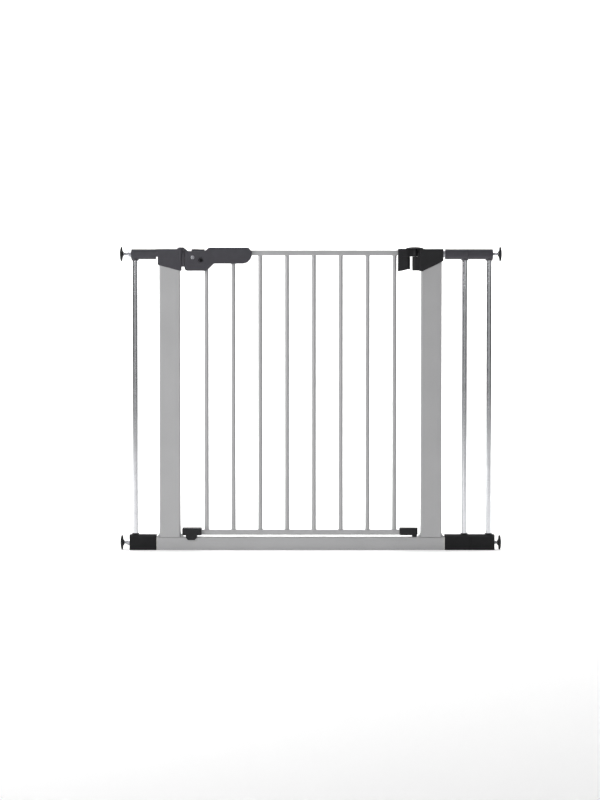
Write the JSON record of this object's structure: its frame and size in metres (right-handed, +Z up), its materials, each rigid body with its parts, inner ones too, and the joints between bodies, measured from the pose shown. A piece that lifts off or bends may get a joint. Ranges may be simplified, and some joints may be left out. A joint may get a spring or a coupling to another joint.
{
  "type": "safety baby gate",
  "caption": "Pressure-fit safety gate with a lift-and-swing barred door, sliding catch in the handle, clip-on extensions and screw-out wall pads.",
  "frame": {"origin": "on the floor, midway between the left and right wall pads and midway through the gate", "axes": "+X along the gate from the latch side to the hinge side, +Y through the gate to its back, +Z up"},
  "size_m": [0.918, 0.042, 0.73],
  "materials": {
    "grey_powder_coat": "satin silver-grey powder coat",
    "chrome_tube": "polished chrome plate",
    "zinc_steel": "bright zinc plate",
    "black_zinc": "black zinc plate",
    "charcoal_plastic": "fine moulded texture, charcoal",
    "black_plastic": "fine moulded texture, black",
    "pad_rubber": "matt dark grey rubber",
    "pale_nylon": "natural nylon"
  },
  "bodies": {
    "frame": {"bottom_rail": "grey_powder_coat", "rail_end_plugs": "pale_nylon", "post_left": "grey_powder_coat", "post_right": "grey_powder_coat", "foot_gussets": "grey_powder_coat", "latch_post_cap": "charcoal_plastic", "hinge_post_cap": "black_plastic", "cap_screws": "zinc_steel", "hinge_bushes": "pale_nylon", "upper_joining_spigots": "zinc_steel", "lower_joining_spigots": "zinc_steel", "spindle_guides": "pale_nylon", "extension_tube_left_1": "chrome_tube", "upper_connector_left_1": "charcoal_plastic", "lower_connector_left_1": "black_plastic", "extension_tube_right_1": "chrome_tube", "upper_connector_right_1": "charcoal_plastic", "lower_connector_right_1": "black_plastic", "extension_tube_right_2": "chrome_tube", "upper_connector_right_2": "charcoal_plastic", "lower_connector_right_2": "black_plastic"},
    "hinge_pins": {"upper_hinge_pin": "zinc_steel", "lower_hinge_pin": "zinc_steel"},
    "door": {"door_top_rail": "grey_powder_coat", "door_bottom_rail": "grey_powder_coat", "door_bar_1": "grey_powder_coat", "door_bar_2": "grey_powder_coat", "door_bar_3": "grey_powder_coat", "door_bar_4": "grey_powder_coat", "door_bar_5": "grey_powder_coat", "door_bar_6": "grey_powder_coat", "door_bar_7": "grey_powder_coat", "door_bar_8": "grey_powder_coat", "handle_front_shell": "charcoal_plastic", "handle_back_shell": "charcoal_plastic", "handle_screws": "black_zinc", "catch_guide_rivet": "zinc_steel", "upper_hinge_bracket": "black_plastic", "hinge_dome_cap": "black_plastic", "lower_hinge_shoe": "black_plastic", "bottom_stop_shoe": "black_plastic", "catch_spring": "zinc_steel"},
    "catch": {"catch_slider": "charcoal_plastic"},
    "spindle_upper_left": {"spindle_rod_upper_left": "zinc_steel", "wall_pad_upper_left": "pad_rubber"},
    "nut_upper_left": {"adjusting_nut_upper_left": "zinc_steel"},
    "spindle_upper_right": {"spindle_rod_upper_right": "zinc_steel", "wall_pad_upper_right": "pad_rubber"},
    "nut_upper_right": {"adjusting_nut_upper_right": "zinc_steel"},
    "spindle_lower_left": {"spindle_rod_lower_left": "zinc_steel", "wall_pad_lower_left": "pad_rubber"},
    "nut_lower_left": {"adjusting_nut_lower_left": "zinc_steel"},
    "spindle_lower_right": {"spindle_rod_lower_right": "zinc_steel", "wall_pad_lower_right": "pad_rubber"},
    "nut_lower_right": {"adjusting_nut_lower_right": "zinc_steel"}
  },
  "joints": [
    {"name": "gate_lift", "type": "slide", "parent": "frame", "child": "hinge_pins", "axis": [0, 0, 1], "range_m": [0, 0.012]},
    {"name": "gate_swing", "type": "hinge", "parent": "hinge_pins", "child": "door", "pos_m": [0.25025, 0, 0], "axis": [0, 0, 1], "range_deg": [-90, 90]},
    {"name": "catch_slide", "type": "slide", "parent": "door", "child": "catch", "axis": [1, 0, 0], "range_m": [0, 0.0075], "stiffness_N_per_m": 400, "springref_m": -0.01, "deforming": ["catch_spring"]},
    {"name": "nut_turn_upper_left", "type": "hinge", "parent": "frame", "child": "nut_upper_left", "pos_m": [-0.43185, 0, 0.7126], "axis": [1, 0, 0], "range_deg": [-720, 11520]},
    {"name": "spindle_slide_upper_left", "type": "slide", "parent": "frame", "child": "spindle_upper_left", "axis": [-1, 0, 0], "range_m": [-0.0025, 0.04]},
    {"name": "nut_turn_upper_right", "type": "hinge", "parent": "frame", "child": "nut_upper_right", "pos_m": [0.43125, 0, 0.7126], "axis": [-1, 0, 0], "range_deg": [-720, 11520]},
    {"name": "spindle_slide_upper_right", "type": "slide", "parent": "frame", "child": "spindle_upper_right", "axis": [1, 0, 0], "range_m": [-0.0025, 0.04]},
    {"name": "nut_turn_lower_left", "type": "hinge", "parent": "frame", "child": "nut_lower_left", "pos_m": [-0.43685, 0, 0.0175], "axis": [1, 0, 0], "range_deg": [-720, 11520]},
    {"name": "spindle_slide_lower_left", "type": "slide", "parent": "frame", "child": "spindle_lower_left", "axis": [-1, 0, 0], "range_m": [-0.0025, 0.04]},
    {"name": "nut_turn_lower_right", "type": "hinge", "parent": "frame", "child": "nut_lower_right", "pos_m": [0.43625, 0, 0.0175], "axis": [-1, 0, 0], "range_deg": [-720, 11520]},
    {"name": "spindle_slide_lower_right", "type": "slide", "parent": "frame", "child": "spindle_lower_right", "axis": [1, 0, 0], "range_m": [-0.0025, 0.04]}
  ],
  "couplings": [
    {"joint": "nut_turn_upper_left", "follows": "spindle_slide_upper_left", "rad_per_m": 5026.5},
    {"joint": "nut_turn_upper_right", "follows": "spindle_slide_upper_right", "rad_per_m": 5026.5},
    {"joint": "nut_turn_lower_left", "follows": "spindle_slide_lower_left", "rad_per_m": 5026.5},
    {"joint": "nut_turn_lower_right", "follows": "spindle_slide_lower_right", "rad_per_m": 5026.5}
  ]
}
